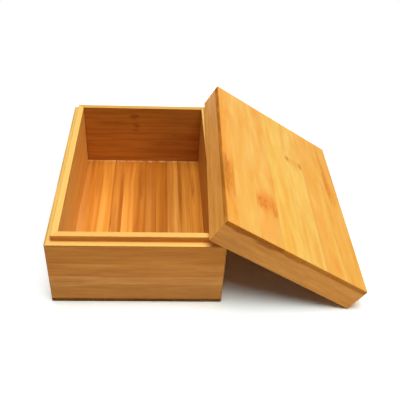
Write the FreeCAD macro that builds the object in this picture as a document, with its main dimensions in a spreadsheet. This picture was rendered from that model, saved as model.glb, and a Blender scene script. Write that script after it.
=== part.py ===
import FreeCAD, Part
import math
import os
import Sketcher

# A bamboo storage box with a lift-off lid, in millimetres. The origin is the centre of the
# box's underside, with X to the right, Y to the back and Z up. The lid is off: it leans on
# the right wall, with one long edge over the lip and the other on the surface below.

# Each driving size: its name, its value and what it is.
DRIVING_SIZES = (
    ("box_width", 152.0, "box and lid outside, left to right"),
    ("box_depth", 228.0, "box and lid outside, front to back"),
    ("board_thickness", 11.0, "wall boards and lid rails"),
    ("base_thickness", 4.0, "base board, glued under the walls"),
    ("course_one", 17.4, "height of the lowest strip of a wall"),
    ("course_two", 10.6, "height of the second strip"),
    ("course_three", 15.6, "height of the third strip"),
    ("course_four", 20.4, "height of the top strip, up to the ledge"),
    ("ledge_width", 5.2, "ledge outside the lip"),
    ("lip_height", 5.9, "lip above the ledge"),
    ("base_first_strip", 8.0, "trimmed base strip at the left"),
    ("lid_rail_height", 21.3, "rails under the lid's top board"),
    ("lid_board_thickness", 4.3, "top board of the lid"),
    ("lid_first_strip", 11.4, "trimmed lid strip at the left"),
    ("lid_clearance", 0.3, "side gap between the lip and the lid's skirt"),
    ("lid_headroom", 0.5, "gap above the lip when the lid is on"),
    ("lean_clearance", 0.1, "gap where the leaning lid meets the lip"),
    ("lid_catch", 3.2, "how far over the lip the leaning skirt reaches"),
    ("lid_forward", 7.8, "how far the leaning lid stands to the front"),
    ("lid_turn_angle", 2.1, "how far the leaning lid is turned, in degrees"),
    ("corner_round", 1.2, "radius of the upright outer corners"),
    ("lid_top_round", 0.9, "radius sanded round the lid's top"),
    ("eased_edge", 0.5, "radius sanded on the other edges"),
)

# How closely two places must agree to count as one, and how far a cutter runs past a blank.
TOUCH = 1e-4
OVERCUT = 5.0

doc = FreeCAD.newDocument("bamboo_storage_box")
sheet = doc.addObject("Spreadsheet::Sheet", "Sizes")
for row, (alias, value, meaning) in enumerate(DRIVING_SIZES, start=1):
    sheet.set(f"A{row}", meaning)
    sheet.set(f"B{row}", str(value))
    sheet.setAlias(f"B{row}", alias)
doc.recompute()


def size(alias):
    """A driving size, read back from the sheet."""
    return float(sheet.get(alias))


# Heights and widths that follow from the driving sizes, as expressions on the sheet.
COURSES = ("course_one", "course_two", "course_three", "course_four")
COURSE_TOPS = ["Sizes.base_thickness"]
for course in COURSES:
    COURSE_TOPS.append(f"{COURSE_TOPS[-1]} + Sizes.{course}")
LEDGE_TOP = COURSE_TOPS[-1]
LIP_TOP = f"{LEDGE_TOP} + Sizes.lip_height"
SKIRT = "(Sizes.ledge_width - Sizes.lid_clearance)"
LID_HEIGHT = "Sizes.lid_rail_height + Sizes.lid_board_thickness"

# The same in numbers, for picking edges and for the lid's place.
half_width = size("box_width") / 2
half_depth = size("box_depth") / 2
ledge_top = size("base_thickness") + sum(size(course) for course in COURSES)
lip_top = ledge_top + size("lip_height")
skirt = size("ledge_width") - size("lid_clearance")
lid_height = size("lid_rail_height") + size("lid_board_thickness")


def rectangle(body, name, height, inset):
    """The box's outline, drawn in by an inset on every side, at a height above the body's origin."""
    sketch = body.newObject("Sketcher::SketchObject", name)
    planes = body.Origin.OriginFeatures
    floor_plane = next(plane for plane in planes if plane.Role == "XY_Plane")
    sketch.AttachmentSupport = (floor_plane, [""])
    sketch.MapMode = "FlatFace"
    sketch.setExpression("AttachmentOffset.Base.z", height)
    corner_signs = ((-1, -1), (1, -1), (1, 1), (-1, 1))
    corners = [FreeCAD.Vector(x * half_width, y * half_depth, 0) for x, y in corner_signs]
    for side in range(4):
        sketch.addGeometry(Part.LineSegment(corners[side], corners[(side + 1) % 4]))
    for side in range(4):
        sketch.addConstraint(Sketcher.Constraint("Coincident", side, 2, (side + 1) % 4, 1))
    for side, direction in enumerate(("Horizontal", "Vertical", "Horizontal", "Vertical")):
        sketch.addConstraint(Sketcher.Constraint(direction, side))
    sketch.addConstraint(Sketcher.Constraint("Symmetric", 0, 1, 1, 2, -1, 1))
    across = sketch.addConstraint(Sketcher.Constraint("DistanceX", 0, 1, 0, 2, 2 * half_width))
    along = sketch.addConstraint(Sketcher.Constraint("DistanceY", 1, 1, 1, 2, 2 * half_depth))
    sketch.renameConstraint(across, "across")
    sketch.renameConstraint(along, "along")
    sketch.setExpression("Constraints.across", f"Sizes.box_width - 2 * {inset}")
    sketch.setExpression("Constraints.along", f"Sizes.box_depth - 2 * {inset}")
    return sketch


def pad(body, name, sketch, height):
    """Raises a sketch into a solid."""
    feature = body.newObject("PartDesign::Pad", name)
    feature.Profile = sketch
    feature.setExpression("Length", height)
    doc.recompute()


def pocket(body, name, sketch, depth, upward):
    """Cuts a sketch's shape out of the body, up or down from the sketch."""
    before = body.Tip.Shape.Volume
    feature = body.newObject("PartDesign::Pocket", name)
    feature.Profile = sketch
    feature.Reversed = upward
    feature.setExpression("Length", depth)
    doc.recompute()
    if feature.Shape.Volume > before - TOUCH:
        raise RuntimeError(f"{name} cuts nothing")


def ease(body, name, radius, wanted):
    """Rounds those edges of the body that are wanted."""
    tip = body.Tip
    numbered = enumerate(tip.Shape.Edges, start=1)
    edges = [f"Edge{number}" for number, edge in numbered if wanted(edge.BoundBox)]
    feature = body.newObject("PartDesign::Fillet", name)
    feature.Base = (tip, edges)
    feature.setExpression("Radius", radius)
    doc.recompute()


def beyond(extent, inset):
    """Whether an edge lies outside the box's outline drawn in by an inset."""
    out_in_width = abs(extent.Center.x) > half_width - inset
    out_in_depth = abs(extent.Center.y) > half_depth - inset
    return out_in_width or out_in_depth


def upright(extent):
    """Whether an edge stands straight up."""
    return extent.XLength < TOUCH and extent.YLength < TOUCH


def level(extent, height):
    """Whether an edge lies flat at a height."""
    return abs(extent.ZMin - height) < TOUCH and abs(extent.ZMax - height) < TOUCH


# The glued-up box before its strips are told apart: walls on the base board, with the rabbet
# that leaves an outer ledge and an inner lip, and its edges sanded.
box_blank = doc.addObject("PartDesign::Body", "box_blank")
pad(box_blank, "box_block", rectangle(box_blank, "box_outline", "0", "0"), LEDGE_TOP)
pad(
    box_blank,
    "lip_block",
    rectangle(box_blank, "lip_outline", LEDGE_TOP, "Sizes.ledge_width"),
    "Sizes.lip_height",
)
pocket(
    box_blank,
    "box_inside",
    rectangle(box_blank, "inside_outline", LIP_TOP, "Sizes.board_thickness"),
    f"{LIP_TOP} - Sizes.base_thickness",
    False,
)
half_ledge = size("ledge_width") / 2
lip_inset = (size("ledge_width") + size("board_thickness")) / 2


def is_box_corner(extent):
    return upright(extent) and beyond(extent, half_ledge)


def is_lip_corner(extent):
    return upright(extent) and beyond(extent, lip_inset) and extent.ZMin > ledge_top - TOUCH


def is_box_edge(extent):
    is_ledge_edge = level(extent, ledge_top) and beyond(extent, half_ledge)
    return level(extent, 0) or level(extent, lip_top) or is_ledge_edge


ease(box_blank, "box_corners", "Sizes.corner_round", is_box_corner)
ease(box_blank, "lip_corners", "Sizes.eased_edge", is_lip_corner)
ease(box_blank, "box_edges", "Sizes.eased_edge", is_box_edge)

# The glued-up lid, standing on the plane of its lower edge: a top board on four rails, with a
# rabbet inside the rails' lower edge that leaves a skirt to sit on the ledge round the lip.
lid_blank = doc.addObject("PartDesign::Body", "lid_blank")
pad(lid_blank, "lid_block", rectangle(lid_blank, "lid_outline", "0", "0"), LID_HEIGHT)
pocket(
    lid_blank,
    "lid_inside",
    rectangle(lid_blank, "lid_inside_outline", "0", "Sizes.board_thickness"),
    "Sizes.lid_rail_height",
    True,
)
pocket(
    lid_blank,
    "lid_rabbet",
    rectangle(lid_blank, "rabbet_outline", "0", SKIRT),
    "Sizes.lip_height + Sizes.lid_headroom",
    True,
)


def is_lid_corner(extent):
    return upright(extent) and beyond(extent, skirt / 2)


def is_lid_top_edge(extent):
    return level(extent, lid_height)


def is_lid_lower_edge(extent):
    return level(extent, 0)


ease(lid_blank, "lid_corners", "Sizes.corner_round", is_lid_corner)
ease(lid_blank, "lid_top_edges", "Sizes.lid_top_round", is_lid_top_edge)
ease(lid_blank, "lid_lower_edges", "Sizes.eased_edge", is_lid_lower_edge)

# The lid's place. Its long lower edge at the right stands on the surface. The skirt of its left
# rail lies on the lip of the box's right wall, unless the back rail's skirt meets the lip's back
# corner first, or the front rail's skirt the ledge's front corner.
turn = math.radians(-size("lid_turn_angle"))
skirt_reach = size("box_width") - skirt
lean_on_side = math.asin((lip_top + size("lean_clearance")) / skirt_reach)
lip_face = half_width - size("ledge_width")
lip_end = half_depth - size("ledge_width")
foot_x = lip_face - size("lid_catch") + skirt_reach * math.cos(lean_on_side)
foot_y = -size("lid_forward")


def lean_over(x, y, height):
    """The lean at which the plane of the lid's lower edge just clears a point of the box."""
    run = (foot_x - x) * math.cos(turn) + (foot_y - y) * math.sin(turn)
    return math.atan((height + size("lean_clearance")) / run)


lean = max(
    lean_on_side,
    lean_over(lip_face, lip_end, lip_top),
    lean_over(half_width, -half_depth, ledge_top),
)
upward = FreeCAD.Vector(0, 0, 1)
backward = FreeCAD.Vector(0, 1, 0)
turned = FreeCAD.Rotation(upward, math.degrees(turn))
leant = FreeCAD.Rotation(backward, math.degrees(lean))
lid_attitude = turned * leant
lid_foot = FreeCAD.Vector(foot_x, foot_y, 0)
foot_from_middle = FreeCAD.Vector(half_width, 0, 0)
lid_place = FreeCAD.Placement(lid_foot - lid_attitude * foot_from_middle, lid_attitude)

pieces = []


def cut_piece(name, blank, cutter, place):
    """The part of a blank inside a cutter, as a piece of its own at its place."""
    piece = doc.addObject("Part::Common", name)
    piece.Label = name
    piece.Base = blank
    piece.Tool = cutter
    piece.Placement = place
    pieces.append(piece)


def mitred_piece(name, blank, along, across, quarter_turns, low, high, place):
    """A length of board on one side, between two heights and two 45 degree mitres."""
    cutter = doc.addObject("Part::Wedge", f"{name}_cutter")
    outer_half = f"(Sizes.{along} / 2 + {OVERCUT})"
    inner_half = f"(Sizes.{along} / 2 - Sizes.board_thickness)"
    faces = {
        "Ymin": f"-(Sizes.{across} / 2 + {OVERCUT})",
        "Ymax": f"Sizes.board_thickness - Sizes.{across} / 2",
        "Xmin": f"-{outer_half}",
        "Xmax": outer_half,
        "X2min": f"-{inner_half}",
        "X2max": inner_half,
        "Zmin": low,
        "Zmax": high,
        "Z2min": low,
        "Z2max": high,
    }
    for face, expression in faces.items():
        cutter.setExpression(face, expression)
    cutter.Placement.Rotation = FreeCAD.Rotation(upward, 90 * quarter_turns)
    cut_piece(name, blank, cutter, place)


def board_strips(name, blank, first, whole_strips, low, high, place):
    """A board's strips, running front to back: a trimmed one at the left, then equal whole ones."""
    whole_width = f"(Sizes.box_width - Sizes.{first}) / {whole_strips}"
    joints = [f"Sizes.{first} + {number} * {whole_width}" for number in range(whole_strips)]
    left_edges = [f"-{OVERCUT}", *joints]
    right_edges = [*joints, f"Sizes.box_width + {OVERCUT}"]
    for number, (left_edge, right_edge) in enumerate(zip(left_edges, right_edges), start=1):
        cutter = doc.addObject("Part::Box", f"{name}_cutter")
        cutter.setExpression("Length", f"({right_edge}) - ({left_edge})")
        cutter.setExpression("Width", f"Sizes.box_depth + 2 * {OVERCUT}")
        cutter.setExpression("Height", f"({high}) - ({low})")
        cutter.setExpression("Placement.Base.x", f"{left_edge} - Sizes.box_width / 2")
        cutter.setExpression("Placement.Base.y", f"-(Sizes.box_depth / 2 + {OVERCUT})")
        cutter.setExpression("Placement.Base.z", low)
        cut_piece(f"{name}_{number}", blank, cutter, place)


SIDES = (
    ("front", "box_width", "box_depth"),
    ("right", "box_depth", "box_width"),
    ("back", "box_width", "box_depth"),
    ("left", "box_depth", "box_width"),
)
at_rest = FreeCAD.Placement()

# The box: strips of the base board, then each wall's four courses. The top course runs on past
# the ledge to take in the lip.
board_strips(
    "base_strip",
    box_blank,
    "base_first_strip",
    12,
    f"-{OVERCUT}",
    "Sizes.base_thickness",
    at_rest,
)
for quarter_turns, (side, along, across) in enumerate(SIDES):
    for number, low in enumerate(COURSE_TOPS[:-1], start=1):
        is_top = number == len(COURSES)
        high = f"{LIP_TOP} + {OVERCUT}" if is_top else COURSE_TOPS[number]
        name = f"{side}_wall_course_{number}"
        mitred_piece(name, box_blank, along, across, quarter_turns, low, high, at_rest)

# The lid: four rails, then the strips of the top board over them.
for quarter_turns, (side, along, across) in enumerate(SIDES):
    low = f"-{OVERCUT}"
    high = "Sizes.lid_rail_height"
    mitred_piece(f"lid_{side}_rail", lid_blank, along, across, quarter_turns, low, high, lid_place)
board_strips(
    "lid_strip",
    lid_blank,
    "lid_first_strip",
    6,
    "Sizes.lid_rail_height",
    f"{LID_HEIGHT} + {OVERCUT}",
    lid_place,
)

doc.recompute()
for item in doc.Objects:
    if "Invalid" in item.State or "Error" in item.State:
        raise RuntimeError(f"{item.Label} failed: {item.State}")
for piece in pieces:
    if piece.Shape.isNull() or not piece.Shape.isValid() or len(piece.Shape.Solids) != 1:
        raise RuntimeError(f"{piece.Label} is not one valid solid")

os.makedirs("parts", exist_ok=True)
for piece in pieces:
    piece.Shape.exportStep(f"parts/{piece.Label}.step")
print(f"{len(pieces)} pieces, lid leaning at {math.degrees(lean):.2f} degrees")
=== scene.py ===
import bpy
import math
from mathutils import Matrix, Vector


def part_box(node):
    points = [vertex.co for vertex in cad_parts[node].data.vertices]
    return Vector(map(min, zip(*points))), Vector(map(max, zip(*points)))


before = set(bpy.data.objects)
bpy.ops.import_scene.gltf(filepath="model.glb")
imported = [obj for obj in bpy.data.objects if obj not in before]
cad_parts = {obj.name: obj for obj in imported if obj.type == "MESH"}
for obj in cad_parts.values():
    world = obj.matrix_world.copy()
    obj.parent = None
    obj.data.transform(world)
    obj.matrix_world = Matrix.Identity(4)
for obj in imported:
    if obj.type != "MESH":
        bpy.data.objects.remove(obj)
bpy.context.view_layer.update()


# The base board: thirteen bamboo strips pressed side by side, running front to back, and glued
# under the walls. Its face is the floor inside, and its cut ends are the dark line at the foot
# of the front and back. The first strip was trimmed when the board was cut to size.
BASE_ENDS = "6E400E"
# Tones of each strip at its left and right edge, of its dark streaks and its pale ones, from the left.
BASE_TONES = (
    ("D48834", "D48834", "B0601A", "E49E48"),
    ("DA9640", "DC8E36", "BC681E", "EAAA50"),
    ("DE8E30", "DA8A2E", "B66418", "ECA248"),
    ("ECA03C", "E89A38", "D47E28", "F8B256"),
    ("D8862E", "CC7A24", "A2520C", "E89E46"),
    ("E69838", "E29236", "C87024", "F2AC52"),
    ("CC7C26", "BA6A1A", "A4560E", "D48A34"),
    ("C07426", "BC6E22", "A86018", "CA8032"),
    ("BE701C", "B86A18", "A25A10", "CA7E28"),
    ("DA903C", "D68C38", "B86E1A", "E8A850"),
    ("CA7C20", "EEA03C", "A25A10", "F8B250"),
    ("EE9E36", "EC9A32", "B8660C", "FAAE4A"),
    ("E8963A", "E29034", "B0640C", "F2AA48"),
)
# Length and width in millimetres of the tone bands, streaks and fibre bundles, how often each splits
# into finer ones, and how much it counts.
BASE_FIGURE = ((240, 7.0, 1, 0.84), (90, 3.2, 1, 0.12), (14, 0.8, 1, 0.04))
# Stains, by strip: place along and across it, half length and width, tone, strength, dashes.
BASE_STAINS = {
    "base_strip_2": ((-30, -0.6, 90, 4.0, "F2B46E", 0.5, 0.8), (20, 2, 60, 4.0, "C8702A", 0.4, 0.6)),
    "base_strip_3": ((58, 2, 40, 3.0, "B4601C", 0.6, 0.5), (0, -2, 40, 3.0, "C26E22", 0.5, 0.6)),
    "base_strip_5": ((40, 4.6, 44, 1.8, "8A3E0A", 0.55, 0.7), (-6, -4.5, 16, 1.6, "9A4A10", 0.6, 0.6),
                     (-16, -1, 60, 7, "A4560E", 0.5, 0.4)),
    "base_strip_7": ((66, 1.5, 50, 6.5, "8E460A", 0.65, 0.4),),
    "base_strip_8": ((70, 0, 50, 6, "9A500C", 0.45, 0.4),),
    "base_strip_9": ((40, 4.8, 46, 1.6, "8C4A0E", 0.7, 0.6),),
    "base_strip_11": ((40, -3.6, 90, 3.0, "8E4A0C", 0.75, 0.2),),
    "base_strip_12": ((48, -1.5, 30, 2.4, "A8520C", 0.7, 0.8),),
}
# A border's edge, width, tone and strength: painted shade, browner towards the back wall.
BACK_PAINTED_SHADE = (104, 110, "A05A0C", 0.45)
# A crust of pale glue at the back wall, given as a stain.
GLUE_CRUST = (102, 0, 2.4, 8, "F0C890", 0.7, 1.0)
# Tone of the glue between strips, and how strongly it shows.
GLUE_BROWN = "8A4410"
BASE_GLUE = (GLUE_BROWN, 0.4)


def linear(code):
    """An sRGB hex colour as linear light, opaque."""
    shares = [int(code[place:place + 2], 16) / 255 for place in (0, 2, 4)]
    return [s / 12.92 if s <= 0.04045 else ((s + 0.055) / 1.055) ** 2.4 for s in shares] + [1.0]


# Sockets go by name or by number. A Map Range has its value at 0, the value's limits at 1 and 2, and
# what these turn into at 3 and 4. A Mix has its share at 0, and numbers at 2 and 3 or colours at 6 and 7.
def add(tree, kind, inputs, output=None, **settings):
    """Adds a node with its settings and links, and gives one of its outputs."""
    made = tree.nodes.new("ShaderNode" + kind)
    for setting, value in settings.items():
        setattr(made, setting, value)
    for socket, value in inputs.items():
        if isinstance(value, bpy.types.NodeSocket):
            tree.links.new(value, made.inputs[socket])
        else:
            made.inputs[socket].default_value = value
    if output is not None:
        return made.outputs[output]
    return next((socket for socket in made.outputs if socket.enabled), None)


# Lacquered laminated bamboo: split culm strips, steamed to a honey brown, glued up, planed, sanded
# and given one thin satin lacquer. The eye gets straight fibres along each strip, darker bundles
# in fine dashes, a hairline of glue at each joint and a soft sheen that follows the fibres.
# Millimetres in a metre.
MM = 1000
# Each strip is another stretch of cane, by its seed. Its fibres drift sideways by a millimetre or so
# over a hand's breadth, and its bundles are deeper than wide.
STRETCH = 317.7
DRIFT = 3.0
DRIFT_LENGTH = 80
BUNDLE_DEPTH = 1.4
# How far the bands pull the change from one edge's tone to the other's.
BAND_PULL = 1.5
# Limits and results of Map Ranges. Noise lies about 0.5, so streaks, gaps and roughness change there.
DARK_STREAKS = {1: 0.49, 2: 0.66, 4: 0.8}
PALE_STREAKS = {1: 0.49, 2: 0.34, 4: 0.8}
SATIN = {1: 0.35, 2: 0.65, 3: 0.5, 4: 0.62}
GLUE_GAPS = {1: 0.4, 2: 0.65, 3: 0.1}
BORDER_GAPS = {1: 0.38, 2: 0.6, 3: 0.45}
STAIN_GAPS = {1: 0.42, 2: 0.58}
END_DOTS = {1: 0.35, 2: 0.65, 3: 1.0, 4: 0.7}
# How far streaks fray a stain, which is full within a quarter of its size and gone just past its edge.
FRAY = 1.4
STAIN_EDGE = {1: 1.05 + FRAY / 2, 2: 0.25 + FRAY / 2}
# The share of a border's width in which it is full.
BORDER_FULL = 0.2
# Depths in millimetres at which glue, a face and a cut end begin, and at which they are full.
GLUE_DEPTHS = (0.9, 0.1)
FACE_DEPTHS = (0.6, 0.1)
END_DEPTHS = (0.7, 0.3)
END_ROUGHNESS = 0.95
LACQUER_IOR = 1.5
LACQUER_SPECULAR = 0.3
LACQUER_TINT = "FFE4BC"
FIBRE_RELIEF = 0.0002
RELIEF_STRENGTH = 0.35


class Bamboo:
    """The finish of one strip while its nodes are put together. Lengths are in millimetres."""

    def __init__(self, piece, grain, tones, figure, seed, into_body=Matrix()):
        self.piece = piece
        self.finish = bpy.data.materials.new("lacquered_bamboo_" + piece)
        self.finish.use_nodes = True
        self.tree = self.finish.node_tree
        tree = self.tree
        tree.nodes.clear()
        left_tone, right_tone, dark_tone, pale_tone = tones

        # Places are measured from the strip's middle, along, across and through it.
        corners = [into_body @ (vertex.co * MM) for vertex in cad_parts[piece].data.vertices]
        low, high = (Vector(map(pick, zip(*corners))) for pick in (min, max))
        half_size = (high - low) / 2
        axes = ["XYZ".index(axis) for axis in grain]
        self.half_along, self.half_across, self.half_through = (half_size[axis] for axis in axes)
        seat = Matrix.Translation(-(low + high) / 2) @ into_body
        own_place = add(tree, "Mapping", {
            "Vector": add(tree, "TexCoord", {}, "Object"),
            "Location": seat.translation,
            "Rotation": seat.to_euler(),
            "Scale": (MM, MM, MM),
        })
        places = add(tree, "SeparateXYZ", {0: own_place}).node.outputs
        self.along, self.across, self.through = (places[axis] for axis in axes)
        self.face_place = add(tree, "CombineXYZ", {"X": self.along, "Y": self.across})
        far = add(tree, "Math", {0: self.along, 1: STRETCH * seed}, operation="ADD")
        slow = {"W": far, "Scale": 1 / DRIFT_LENGTH, "Detail": 1}
        drift = add(tree, "TexNoise", slow, noise_dimensions="1D")
        aside = add(tree, "Math", {0: drift, 1: DRIFT, 2: self.across}, operation="MULTIPLY_ADD")
        fibre_place = add(tree, "CombineXYZ", {"X": far, "Y": aside, "Z": self.through})

        # Tone bands, streaks and bundles. Real bundles are 0.3 mm wide, too fine for a picture with
        # a pixel to the millimetre, so they are drawn about three times as wide.
        layers = []
        fibres = 0.0
        for length, width, splits, count in figure:
            squeeze = (1 / length, 1 / width, 1 / (BUNDLE_DEPTH * width))
            place = add(tree, "VectorMath", {0: fibre_place, 1: squeeze}, operation="MULTIPLY")
            layer = add(tree, "TexNoise", {"Vector": place, "Scale": 1, "Detail": splits})
            fibres = add(tree, "Math", {0: layer, 1: count, 2: fibres}, operation="MULTIPLY_ADD")
            layers.append(layer)
        self.bands, self.streaks, self.bundles = layers
        self.fibres = fibres
        share = add(tree, "MapRange", {0: self.across, 1: -self.half_across, 2: self.half_across})
        bent = add(tree, "Math", {0: self.bands, 1: BAND_PULL, 2: share}, operation="MULTIPLY_ADD")
        limits = {1: BAND_PULL / 2, 2: BAND_PULL / 2 + 1}
        mixed = add(tree, "MapRange", {0: bent, **limits}, interpolation_type="SMOOTHSTEP")
        both_tones = {0: mixed, 6: linear(left_tone), 7: linear(right_tone)}
        self.colour = add(tree, "Mix", both_tones, data_type="RGBA")
        self.blend(add(tree, "MapRange", {0: fibres, **DARK_STREAKS}), dark_tone)
        self.blend(add(tree, "MapRange", {0: fibres, **PALE_STREAKS}), pale_tone)
        self.rough = add(tree, "MapRange", {0: fibres, **SATIN})

    def blend(self, share, tone, within=None):
        """Lays a tone over the colour so far, by a share, and only within some area if one is given."""
        if within is not None:
            share = add(self.tree, "Math", {0: share, 1: within}, operation="MULTIPLY")
        inputs = {0: share, 6: self.colour, 7: linear(tone)}
        self.colour = add(self.tree, "Mix", inputs, data_type="RGBA")

    def glue_line(self, tone, strength):
        """The hairline of glue at both edges of the strip, uneven along its length."""
        tree = self.tree
        edge = add(tree, "Math", {0: self.across}, operation="ABSOLUTE")
        begins, full = (self.half_across - depth for depth in GLUE_DEPTHS)
        limits = {1: begins, 2: full, 4: strength}
        line = add(tree, "MapRange", {0: edge, **limits}, interpolation_type="SMOOTHSTEP")
        self.blend(line, tone, add(tree, "MapRange", {0: self.bands, **GLUE_GAPS}))

    def stain(self, at, aside, half_long, half_wide, tone, strength, dashes, within=None):
        """A stain in the strip, frayed along its fibres and broken up into dashes."""
        tree = self.tree
        shape = (1 / half_long, 1 / half_wide, 0)
        away = add(tree, "VectorMath", {0: self.face_place, 1: (at, aside, 0)}, operation="SUBTRACT")
        round_place = add(tree, "VectorMath", {0: away, 1: shape}, operation="MULTIPLY")
        reach = add(tree, "VectorMath", {0: round_place}, "Value", operation="LENGTH")
        frayed = add(tree, "Math", {0: self.streaks, 1: FRAY, 2: reach}, operation="MULTIPLY_ADD")
        limits = {**STAIN_EDGE, 4: strength}
        spot = add(tree, "MapRange", {0: frayed, **limits}, interpolation_type="SMOOTHSTEP")
        broken = add(tree, "MapRange", {0: self.bundles, **STAIN_GAPS, 3: 1 - dashes})
        dashed = add(tree, "Math", {0: spot, 1: broken}, operation="MULTIPLY")
        self.blend(dashed, tone, within)

    def border(self, towards, edge, width, tone, strength, within=None):
        """A border along an edge of the strip, uneven as its streaks are. Gives where it is."""
        tree = self.tree
        limits = {1: edge - width, 2: edge - BORDER_FULL * width, 4: strength}
        line = add(tree, "MapRange", {0: towards, **limits}, interpolation_type="SMOOTHSTEP")
        broken = add(tree, "MapRange", {0: self.streaks, **BORDER_GAPS})
        uneven = add(tree, "Math", {0: line, 1: broken}, operation="MULTIPLY")
        self.blend(uneven, tone, within)
        return line

    def face(self, sign):
        """Where one of the strip's broad faces is, by its sign: one on it and nought below it."""
        outward = add(self.tree, "Math", {0: self.through, 1: sign}, operation="MULTIPLY")
        begins, full = (self.half_through - depth for depth in FACE_DEPTHS)
        limits = {1: begins, 2: full}
        return add(self.tree, "MapRange", {0: outward, **limits}, interpolation_type="SMOOTHSTEP")

    def end_grain(self, tone):
        """Cut ends drink more lacquer, so they are darker and duller, dotted with bundles."""
        tree = self.tree
        reach = add(tree, "Math", {0: self.along}, operation="ABSOLUTE")
        begins, full = (self.half_along - depth for depth in END_DEPTHS)
        end = add(tree, "MapRange", {0: reach, 1: begins, 2: full}, interpolation_type="SMOOTHSTEP")
        self.blend(end, tone, add(tree, "MapRange", {0: self.bundles, **END_DOTS}))
        self.rough = add(tree, "Mix", {0: end, 2: self.rough, 3: END_ROUGHNESS})

    def lacquer(self):
        """Closes the finish with the lacquered surface and puts it on the strip."""
        tree = self.tree
        relief = {"Strength": RELIEF_STRENGTH, "Distance": FIBRE_RELIEF, "Height": self.fibres}
        surface = add(tree, "BsdfPrincipled", {
            "Base Color": self.colour,
            "Roughness": self.rough,
            "IOR": LACQUER_IOR,
            "Specular IOR Level": LACQUER_SPECULAR,
            "Specular Tint": linear(LACQUER_TINT),
            "Normal": add(tree, "Bump", relief),
        })
        add(tree, "OutputMaterial", {"Surface": surface})
        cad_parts[self.piece].material_slots[0].material = self.finish


for number, tones in enumerate(BASE_TONES, start=1):
    piece = f"base_strip_{number}"
    strip = Bamboo(piece, "YXZ", tones, BASE_FIGURE, number)
    for stain in BASE_STAINS.get(piece, ()):
        strip.stain(*stain)
    # Painted shade: each strip is browner towards the back wall.
    strip.border(strip.along, *BACK_PAINTED_SHADE)
    strip.stain(*GLUE_CRUST, strip.face(1))
    strip.glue_line(*BASE_GLUE)
    strip.end_grain(BASE_ENDS)
    strip.lacquer()


# The four walls: each is four courses of bamboo edge-glued into a board, mitred at the corners.
# The top course is rabbeted, with a ledge outside for the lid and a lip that stands inside it.
# The corners of the box are eased, so each board's outer edge ends a little short of its mitre.
LIP_HEIGHT = 5.9
EASED_CORNER = 1.2
# Each side: its name, its axes along, across and through, and its outside's sign.
SIDES = (
    ("front", "XZY", -1),
    ("right", "YZX", 1),
    ("back", "XZY", 1),
    ("left", "YZX", -1),
)
# Tones of each course at its lower and upper edge, of its dark streaks and its pale ones, upwards.
WALL_TONES = (
    ("D48C3C", "D68E3C", "C2742E", "E49E4E"),
    ("E69C4A", "E89C48", "D08038", "F8B462"),
    ("DE8E38", "E09038", "C6732E", "F2AA52"),
    ("DA8A2E", "D8882E", "C26F26", "ECA046"),
)
WALL_FIGURE = ((70, 5.0, 2, 0.4), (36, 2.2, 2, 0.32), (10, 0.8, 2, 0.28))
WALL_SEED = 19
WALL_GLUE = (GLUE_BROWN, 0.2)
# Mitres: a dark hairline of glue, widened into painted shade on the eased corners of the box.
MITRE_GLUE_AND_SHADE = "6E4410"
MITRE_WIDTH = 1.2
WALL_MITRES = 0.6
# Painted light and shade. Tones of each side's lip, ledge and ledge edge, painted paler where the faces
# point up and, on the left, darker at the ledge's outer edge; then of its inside and the streaks there,
# painted shade, and painted light on the left wall.
RIM_LIGHT_TONES = (
    ("F4BC64", "F6C268", "F6C268"),
    ("F6C86C", "E4B464", "E4B464"),
    ("D8AA54", "E4B464", "E4B464"),
    ("F6C86C", "F4C468", "B08438"),
)
WALL_INSIDE_SHADING = (("C8843A", "AC6A28"), ("C08A3A", "A06C24"), ("BE7C30", "9E601C"), ("FCC25C", "ECA242"))
# How far the inside takes its own tone, and which bands are streaks there.
INSIDE_SHARE = 0.88
INSIDE_STREAKS = {1: 0.44, 2: 0.64, 4: 0.6}
# Borders: painted light makes the left wall's inside paler towards the front, painted shade makes the
# back one's browner towards the right.
LEFT_INSIDE_LIGHT = (110, 150, "FFD27C", 0.6)
BACK_INSIDE_SHADE = (65, 90, "7A3E10", 0.2)
# Painted shade: a dark line under the ledge's outer edge: tone, share, and half its height.
UNDER_LEDGE_SHADE = "7A5A10"
UNDER_LEDGE_SHADE_SHARE = 0.4
ARRIS_HALF = 0.5
# Painted highlights on the outside, on the eased edge below the lip's upper edge and at the lip's foot
# above the ledge: their half height, how far they lie from these, and their shares.
EASING_HALF = 0.5
EASING_AWAY = 0.4
LIP_EASING = 0.5
FOOT_EASING = 0.4
# How far up a face has to point to take the rim's painted light, and how far above the ledge the ledge's
# painted light fades.
RIM_FACING = {1: 0.3, 2: 0.8, 4: 0.8}
LEDGE_FADE = (2, 1)
LEDGE_EDGE_WIDTH = 2.6
WALL_STAINS = {
    "front_wall_course_1": ((-55, 7.6, 20, 1.4, "F2B05C", 0.6, 0.4), (52, 3, 20, 3, "C8763A", 0.5, 0.5)),
    "front_wall_course_2": ((-14, 4.6, 52, 1.2, "A85C20", 0.5, 0.3),
                            (-60, -1, 26, 5, "C07A3A", 0.6, 0.4)),
    "front_wall_course_3": ((-34, 5.4, 36, 1.8, "F4AC4C", 0.6, 0.3),
                            (-50, -6.5, 30, 1.6, "B4682A", 0.6, 0.4)),
    "front_wall_course_4": ((35, -4, 40, 5, "C87834", 0.5, 0.5),),
    "left_wall_course_2": ((58, 0, 7, 7, "A8621C", 0.6, 0.7),),
    "left_wall_course_4": ((-46, -5, 8, 8, "B0661C", 0.6, 0.7),),
    "back_wall_course_1": ((34, 0, 7, 9, "A8621C", 0.6, 0.7),),
    "right_wall_course_3": ((-30, 0, 7, 9, "A8621C", 0.6, 0.7),),
}
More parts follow.
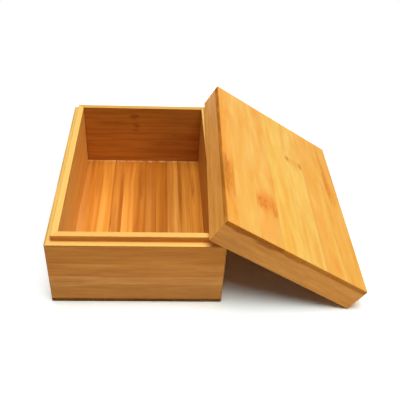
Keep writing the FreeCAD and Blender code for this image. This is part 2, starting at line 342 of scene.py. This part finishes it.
# Knuckles of the bamboo and darker runs that show only inside.
INSIDE_STAINS = {
    "back_wall_course_4": ((-10, 2.5, 7, 5, "7C3C0A", 0.75, 0.6), (-7, -7, 5, 6, "7C3C0A", 0.7, 0.8),
                           (-36, -6, 30, 5, "94540F", 0.6, 0.6)),
    "back_wall_course_3": ((-8, 6, 5, 3, "7C3C0A", 0.6, 0.8), (44, -2, 34, 6, "8A4C10", 0.5, 0.5)),
    "back_wall_course_2": ((-40, 0, 40, 6, "AA681C", 0.5, 0.4), (30, 1, 36, 5, "8A4A0C", 0.6, 0.5)),
}


def inside_tone_and_shade(bamboo, outer_sign, tone, streak_tone):
    """The face towards the inside takes another tone: painted shade on the walls, painted light on the
    left wall, and a darker tone on the lid's inside faces. Gives where it is.
    """
    inside = bamboo.face(-outer_sign)
    bamboo.blend(INSIDE_SHARE, tone, inside)
    streaks = add(bamboo.tree, "MapRange", {0: bamboo.bands, **INSIDE_STREAKS})
    bamboo.blend(streaks, streak_tone, inside)
    return inside


def mitre_glue_and_shade(bamboo, outer_sign, strength):
    """The hairlines of glue on the mitres at both ends of a board, widened into painted shade on the
    eased corners.
    """
    tree = bamboo.tree
    reach = add(tree, "Math", {0: bamboo.along}, operation="ABSOLUTE")
    depth = add(tree, "Math", {
        0: bamboo.through,
        1: -outer_sign,
        2: bamboo.half_through,
    }, operation="MULTIPLY_ADD")
    run = add(tree, "Math", {0: reach, 1: depth}, operation="ADD")
    sharp_corner = bamboo.half_along + EASED_CORNER * (1 - math.sqrt(0.5))
    bamboo.border(run, sharp_corner, MITRE_WIDTH, MITRE_GLUE_AND_SHADE, strength)


def paint_rim_light(bamboo, outer_sign, inside, lit_lip_tone, lit_ledge_tone, edge_tone):
    """Painted light on the rim: its upward faces, eased edges and the lip's foot are painted paler, the
    ledge most, and its outer edge takes its own tone, a painted shade on the left.
    """
    tree = bamboo.tree
    ledge_height = bamboo.half_across - LIP_HEIGHT
    outside = add(tree, "Math", {0: 1.0, 1: inside}, operation="SUBTRACT")
    lip_line = (bamboo.half_across - EASING_AWAY, LIP_EASING)
    foot_line = (ledge_height + EASING_AWAY, FOOT_EASING)
    for height, share in (lip_line, foot_line):
        line = {0: bamboo.across, 1: height, 2: EASING_HALF}
        band = add(tree, "Math", line, operation="COMPARE")
        pale = add(tree, "Math", {0: band, 1: outside}, operation="MULTIPLY")
        bamboo.blend(share, lit_lip_tone, pale)
    facing = add(tree, "NewGeometry", {}, "Normal")
    upward = add(tree, "SeparateXYZ", {0: facing}).node.outputs["Z"]
    rim = add(tree, "MapRange", {0: upward, **RIM_FACING})
    bamboo.blend(rim, lit_lip_tone)
    fades, full = (ledge_height + above for above in LEDGE_FADE)
    ledge = add(tree, "MapRange", {0: bamboo.across, 1: fades, 2: full})
    ledge_face = add(tree, "Math", {0: rim, 1: ledge}, operation="MULTIPLY")
    bamboo.blend(1.0, lit_ledge_tone, ledge_face)
    outward = add(tree, "Math", {0: bamboo.through, 1: outer_sign}, operation="MULTIPLY")
    bamboo.border(outward, bamboo.half_through, LEDGE_EDGE_WIDTH, edge_tone, 1.0, ledge_face)


for side_number, (side, grain, outer_sign) in enumerate(SIDES):
    for course, tones in enumerate(WALL_TONES, start=1):
        piece = f"{side}_wall_course_{course}"
        seed = WALL_SEED + len(WALL_TONES) * side_number + course
        strip = Bamboo(piece, grain, tones, WALL_FIGURE, seed)
        has_rim = course == len(WALL_TONES)
        for stain in WALL_STAINS.get(piece, ()):
            strip.stain(*stain)
        strip.glue_line(*WALL_GLUE)
        if has_rim:
            # Painted shade: a dark line on the outside just under the ledge's outer edge.
            under_ledge = strip.half_across - LIP_HEIGHT - ARRIS_HALF
            line = {0: strip.across, 1: under_ledge, 2: ARRIS_HALF}
            strip.blend(UNDER_LEDGE_SHADE_SHARE, UNDER_LEDGE_SHADE, add(strip.tree, "Math", line, operation="COMPARE"))
        # Painted shade on the inside faces, and painted light on the left wall's.
        inside = inside_tone_and_shade(strip, outer_sign, *WALL_INSIDE_SHADING[side_number])
        for stain in INSIDE_STAINS.get(piece, ()):
            strip.stain(*stain, inside)
        # Painted light on the left wall's inside towards the front, painted shade on the back one's
        # towards the right.
        if side == "left":
            forward = add(strip.tree, "Math", {0: strip.along, 1: -1}, operation="MULTIPLY")
            strip.border(forward, *LEFT_INSIDE_LIGHT, inside)
        if side == "back":
            strip.border(strip.along, *BACK_INSIDE_SHADE, inside)
        # Glue on the mitres, with painted shade on the eased corners.
        mitre_glue_and_shade(strip, outer_sign, WALL_MITRES)
        # Painted light on the rim's upward faces and eased edges, and on the left painted shade at the
        # ledge's outer edge.
        if has_rim:
            paint_rim_light(strip, outer_sign, inside, *RIM_LIGHT_TONES[side_number])
        strip.lacquer()


# The lid's four rails: one strip each, mitred at the corners, with a rabbet inside the lower edge
# that leaves a skirt to sit on the ledge. The lid leans on the right wall, turned a little, and
# stands on the right rail's lower edge.
LID_LEAN = math.radians(30.68538)
LID_TURN = math.radians(-2.1)
# The place of that edge's middle on the table, in millimetres.
LID_FOOT = (194.7315, -7.8, 0)
# Tones as the walls' courses have them, a row for each side.
RAIL_TONES = (
    ("EEA044", "F0A044", "D68434", "FCB45C"),
    ("F0A444", "EEA240", "D88834", "FAB65A"),
    ("F0A444", "EEA240", "D88834", "FAB65A"),
    ("EEA84C", "ECA448", "D68C38", "FABC66"),
)
RAIL_SEED = 40
RAIL_GLUE = (GLUE_BROWN, 0.45)
RAIL_MITRES = 0.15
RAIL_STAINS = {
    "lid_front_rail": ((-34, 9.8, 17, 2.3, "8C4A14", 0.85, 0.4), (-60, 10.2, 12, 1.5, "94521A", 0.7, 0.4),
                       (-8, 10.3, 14, 1.1, "94521A", 0.7, 0.5), (-56, -2, 22, 7, "D08440", 0.4, 0.3)),
    "lid_right_rail": ((44, -2, 7, 8, "B0661C", 0.6, 0.7),),
    "lid_back_rail": ((-30, 2, 7, 8, "B0661C", 0.6, 0.7),),
}
LID_INSIDE = ("B07A3C", "94602A")

lid_attitude = Matrix.Rotation(LID_TURN, 4, "Z") @ Matrix.Rotation(LID_LEAN, 4, "Y")
into_lid = (Matrix.Translation(LID_FOOT) @ lid_attitude).inverted()
for side_number, (side, grain, outer_sign) in enumerate(SIDES):
    piece = f"lid_{side}_rail"
    strip = Bamboo(piece, grain, RAIL_TONES[side_number], WALL_FIGURE, RAIL_SEED + side_number, into_lid)
    for stain in RAIL_STAINS.get(piece, ()):
        strip.stain(*stain)
    strip.glue_line(*RAIL_GLUE)
    inside_tone_and_shade(strip, outer_sign, *LID_INSIDE)
    mitre_glue_and_shade(strip, outer_sign, RAIL_MITRES)
    strip.lacquer()


# The lid's top board: seven bamboo strips pressed side by side and glued over the rails. The first
# was trimmed. Its cut ends show dark at the front and back, over the rails.
# Tones as the base strips have them, from the left.
LID_TONES = (
    ("EAA244", "ECA848", "E8942E", "F0AE4C"),
    ("EAAC4E", "ECB254", "EA9E3A", "F0BA5A"),
    ("ECB052", "ECAE50", "EA9E3A", "F0BC5A"),
    ("EEBA52", "F0BC56", "EEAA3E", "F4C45E"),
    ("F0BC58", "F0BC58", "EEA640", "F6C866"),
    ("EEAA48", "F2B750", "EE9C34", "FABE5A"),
    ("EEAA42", "F0B048", "EC962C", "F8BA56"),
)
LID_FIGURE = ((46, 9.0, 2, 0.66), (24, 3.0, 2, 0.24), (8, 0.9, 2, 0.1))
LID_SEED = 60
LID_GLUE = ("CC8228", 0.25)
# Tones of the cut ends, from the left.
LID_ENDS = ("BC680A", "B45C08", "B2580A", "CA7418", "CE7822", "C87424", "C47A30")
# The sawn edges along both sides are brown and dull: width, tone and strength, and the roughness.
SAWN_EDGE = (1.2, "B46806", 0.9)
SAWN_ROUGHNESS = 1.0
LID_STAINS = {
    "lid_strip_1": ((-50, 2, 40, 9, "D67C14", 0.8, 0.3), (-46, -2.4, 34, 5.4, "BA680A", 0.8, 0.35)),
    "lid_strip_3": ((-60, 0, 22, 20, "EA8426", 0.75, 0.2), (-62, -2, 12, 15, "C06410", 0.5, 0.8),
                    (-60, -8, 10, 3, "C46A16", 0.5, 0.6), (-69, 8, 9, 4, "BA660E", 0.65, 0.7),
                    (100, 4, 20, 9, "F09438", 0.5, 0.2), (-98, -4, 24, 9, "F29A40", 0.5, 0.2)),
    "lid_strip_4": ((-62, -6, 34, 3.4, "EE9A30", 0.6, 0.2), (-98, 0, 26, 3.4, "EE9A30", 0.6, 0.2),
                    (70, -6, 30, 3.0, "EE9C36", 0.5, 0.2)),
    "lid_strip_5": ((-76, -5, 44, 3.2, "EE9E36", 0.65, 0.2), (-92, 6, 30, 3.4, "EE9A32", 0.6, 0.2),
                    (40, 1, 9, 15, "E8A038", 0.6, 0.3), (78, -8.6, 38, 2, "EA9E38", 0.6, 0.3),
                    (40, 9.6, 8, 3.8, "CC7C10", 0.8, 0.2), (42, -7.6, 7, 3.6, "C4740A", 0.8, 0.1),
                    (-2, 2, 40, 11, "F8CC62", 0.5, 0.2)),
    "lid_strip_6": ((-38, -2, 18, 6, "F09C38", 0.6, 0.2), (-100, 3, 20, 7, "F09A3A", 0.6, 0.2),
                    (55, 0, 80, 16, "EEA43A", 0.5, 0.3)),
    "lid_strip_7": ((36, -1.3, 40, 5, "D67A0C", 0.9, 0.4), (75, -2.5, 38, 3.2, "DE8818", 0.7, 0.4)),
}
# The first and last strip, and which way their sawn edges lie.
SAWN_SIDES = {1: -1, len(LID_TONES): 1}

for number, tones in enumerate(LID_TONES, start=1):
    piece = f"lid_strip_{number}"
    strip = Bamboo(piece, "YXZ", tones, LID_FIGURE, LID_SEED + number, into_lid)
    for stain in LID_STAINS.get(piece, ()):
        strip.stain(*stain)
    strip.glue_line(*LID_GLUE)
    inside_tone_and_shade(strip, 1, *LID_INSIDE)
    strip.end_grain(LID_ENDS[number - 1])
    if number in SAWN_SIDES:
        outward = {0: strip.across, 1: SAWN_SIDES[number]}
        towards = add(strip.tree, "Math", outward, operation="MULTIPLY")
        sawn = strip.border(towards, strip.half_across, *SAWN_EDGE)
        strip.rough = add(strip.tree, "Mix", {0: sawn, 2: strip.rough, 3: SAWN_ROUGHNESS})
    strip.lacquer()


# The stage: a white paper floor under a soft overhead lamp. To the camera and to reflections the
# paper is bright enough to burn out to white, as behind the real box, and its shadows stay. Under
# the box the paper is cut away, and it is clear from below, so that the underside can be seen.
FLOOR_SIZE = 8
FLOOR_DROP = 0.0001
CUT_IN = 0.0015
PAPER = "F3F3F1"
WHITE = "FFFFFF"
# What the paper gives the eye beyond all the light that falls on it.
MORE_THAN_WHITE = "94A8A2"
# From this middle of box and lid, the distances at which the paper begins to burn out and is white:
# all round, and to the left and right, where it burns out sooner and not quite all.
MIDDLE = 0.065
WHITE_FROM = 0.3
WHITE_AT = 0.55
PALE_FROM = 0.128
PALE_AT = 0.165
PALE_SHARE = 0.9


def eye_or_mirror(tree):
    """One for what the camera sees itself or in a reflection, and nought for light on its way."""
    path = add(tree, "LightPath", {}).node.outputs
    mirrored = add(tree, "Math", {
        0: path["Is Glossy Ray"],
        1: path["Is Transmission Ray"],
    }, operation="MAXIMUM")
    return add(tree, "Math", {0: path["Is Camera Ray"], 1: mirrored}, operation="MAXIMUM")


bpy.ops.object.select_all(action="DESELECT")
bpy.ops.mesh.primitive_plane_add(size=FLOOR_SIZE, location=(0, 0, -FLOOR_DROP))
floor = bpy.context.object
floor.name = "studio_floor"
box_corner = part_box("base_strip_13")[1]
half_width = box_corner.x - CUT_IN
half_depth = box_corner.y - CUT_IN
bpy.ops.object.mode_set(mode="EDIT")
for place, facing in (((half_width, 0, 0), (1, 0, 0)), ((-half_width, 0, 0), (1, 0, 0)),
                      ((0, half_depth, 0), (0, 1, 0)), ((0, -half_depth, 0), (0, 1, 0))):
    bpy.ops.mesh.select_all(action="SELECT")
    bpy.ops.mesh.bisect(plane_co=place, plane_no=facing)
bpy.ops.object.mode_set(mode="OBJECT")
for face in floor.data.polygons:
    face.select = abs(face.center.x) < half_width and abs(face.center.y) < half_depth
bpy.ops.object.mode_set(mode="EDIT")
bpy.ops.mesh.delete(type="FACE")
bpy.ops.object.mode_set(mode="OBJECT")

floor_paper = bpy.data.materials.new("white_paper")
floor_paper.use_nodes = True
tree = floor_paper.node_tree
tree.nodes.clear()
paper = add(tree, "BsdfDiffuse", {"Color": linear(PAPER)})
lit_paper = add(tree, "BsdfDiffuse", {"Color": linear(WHITE)})
more_paper = add(tree, "BsdfDiffuse", {"Color": linear(MORE_THAN_WHITE)})
burnt_paper = add(tree, "AddShader", {0: lit_paper, 1: more_paper})
white_paper = add(tree, "Emission", {"Color": linear(WHITE), "Strength": 1.0})
spot = add(tree, "TexCoord", {}, "Object")
off = add(tree, "VectorMath", {0: spot, 1: (MIDDLE, 0, 0)}, "Value", operation="DISTANCE")
limits = {1: WHITE_FROM, 2: WHITE_AT}
far_share = add(tree, "MapRange", {0: off, **limits}, interpolation_type="SMOOTHSTEP")
rightwards = add(tree, "SeparateXYZ", {0: spot}, "X")
sideways = add(tree, "Math", {0: rightwards, 1: MIDDLE}, operation="SUBTRACT")
aside = add(tree, "Math", {0: sideways}, operation="ABSOLUTE")
limits = {1: PALE_FROM, 2: PALE_AT, 4: PALE_SHARE}
side_share = add(tree, "MapRange", {0: aside, **limits}, interpolation_type="SMOOTHSTEP")
white_share = add(tree, "Math", {0: far_share, 1: side_share}, operation="MAXIMUM")
seen_paper = add(tree, "MixShader", {0: white_share, 1: burnt_paper, 2: white_paper})
upper_side = add(tree, "MixShader", {0: eye_or_mirror(tree), 1: paper, 2: seen_paper})
below = add(tree, "NewGeometry", {}, "Backfacing")
clear = add(tree, "BsdfTransparent", {})
one_sided = add(tree, "MixShader", {0: below, 1: upper_side, 2: clear})
add(tree, "OutputMaterial", {"Surface": one_sided})
floor.data.materials.append(floor_paper)


# The room: from above it gives a little light, and from under the paper enough to see the underside
# by. To the camera and to reflections it is white all round.
ROOM_LIGHT = 0.05
LIGHT_BELOW = 0.7
HORIZON = 0.05

studio = bpy.data.worlds.new("studio")
bpy.context.scene.world = studio
studio.use_nodes = True
tree = studio.node_tree
tree.nodes.clear()
direction = add(tree, "TexCoord", {}, "Generated")
height = add(tree, "SeparateXYZ", {0: direction}, "Z")
limits = {1: 0.0, 2: -HORIZON, 3: ROOM_LIGHT, 4: LIGHT_BELOW}
room_light = add(tree, "MapRange", {0: height, **limits})
seen_light = add(tree, "Mix", {0: eye_or_mirror(tree), 2: room_light, 3: 1.0})
sky = add(tree, "Background", {"Color": linear(WHITE), "Strength": seen_light})
add(tree, "OutputWorld", {"Surface": sky})


# The lamp: a softbox over the box, a little to its right and front, pointed at the middle of box
# and lid.
SOFTBOX_PLACE = (0.15, -0.07, 1.15)
SOFTBOX_AIM = (0.06, 0, 0.03)
SOFTBOX_WIDTH = 0.85
SOFTBOX_LENGTH = 1.2
SOFTBOX_WATTS = 17.1

bpy.ops.object.light_add(type="AREA", location=SOFTBOX_PLACE)
softbox = bpy.context.object
softbox.name = "overhead_softbox"
softbox.data.shape = "RECTANGLE"
softbox.data.size = SOFTBOX_WIDTH
softbox.data.size_y = SOFTBOX_LENGTH
softbox.data.energy = SOFTBOX_WATTS
aim = Vector(SOFTBOX_AIM) - softbox.location
softbox.rotation_euler = aim.to_track_quat("-Z", "Y").to_euler()


# The camera: it stands where the photograph was taken from. It looks a little to the right, down by
# its dip, and is tipped to one side. The photograph is a part of a wider picture, hence the shift.
CAMERA_PLACE = (0.01725, -0.46244, 0.3931)
CAMERA_BEARING = -3.0313
CAMERA_DIP = 40.0857
CAMERA_TIP = 2.604
CAMERA_LENS = 51.774
CAMERA_SHIFT = (0.0489, 0.0439)

bpy.ops.object.camera_add(location=CAMERA_PLACE)
camera = bpy.context.object
bearing = Matrix.Rotation(math.radians(CAMERA_BEARING), 3, "Z")
dip = Matrix.Rotation(math.radians(90 - CAMERA_DIP), 3, "X")
tip = Matrix.Rotation(math.radians(CAMERA_TIP), 3, "Z")
camera.rotation_euler = (bearing @ dip @ tip).to_euler()
camera.data.lens = CAMERA_LENS
camera.data.shift_x, camera.data.shift_y = CAMERA_SHIFT
bpy.context.scene.camera = camera
bpy.context.scene.view_settings.view_transform = "Standard"
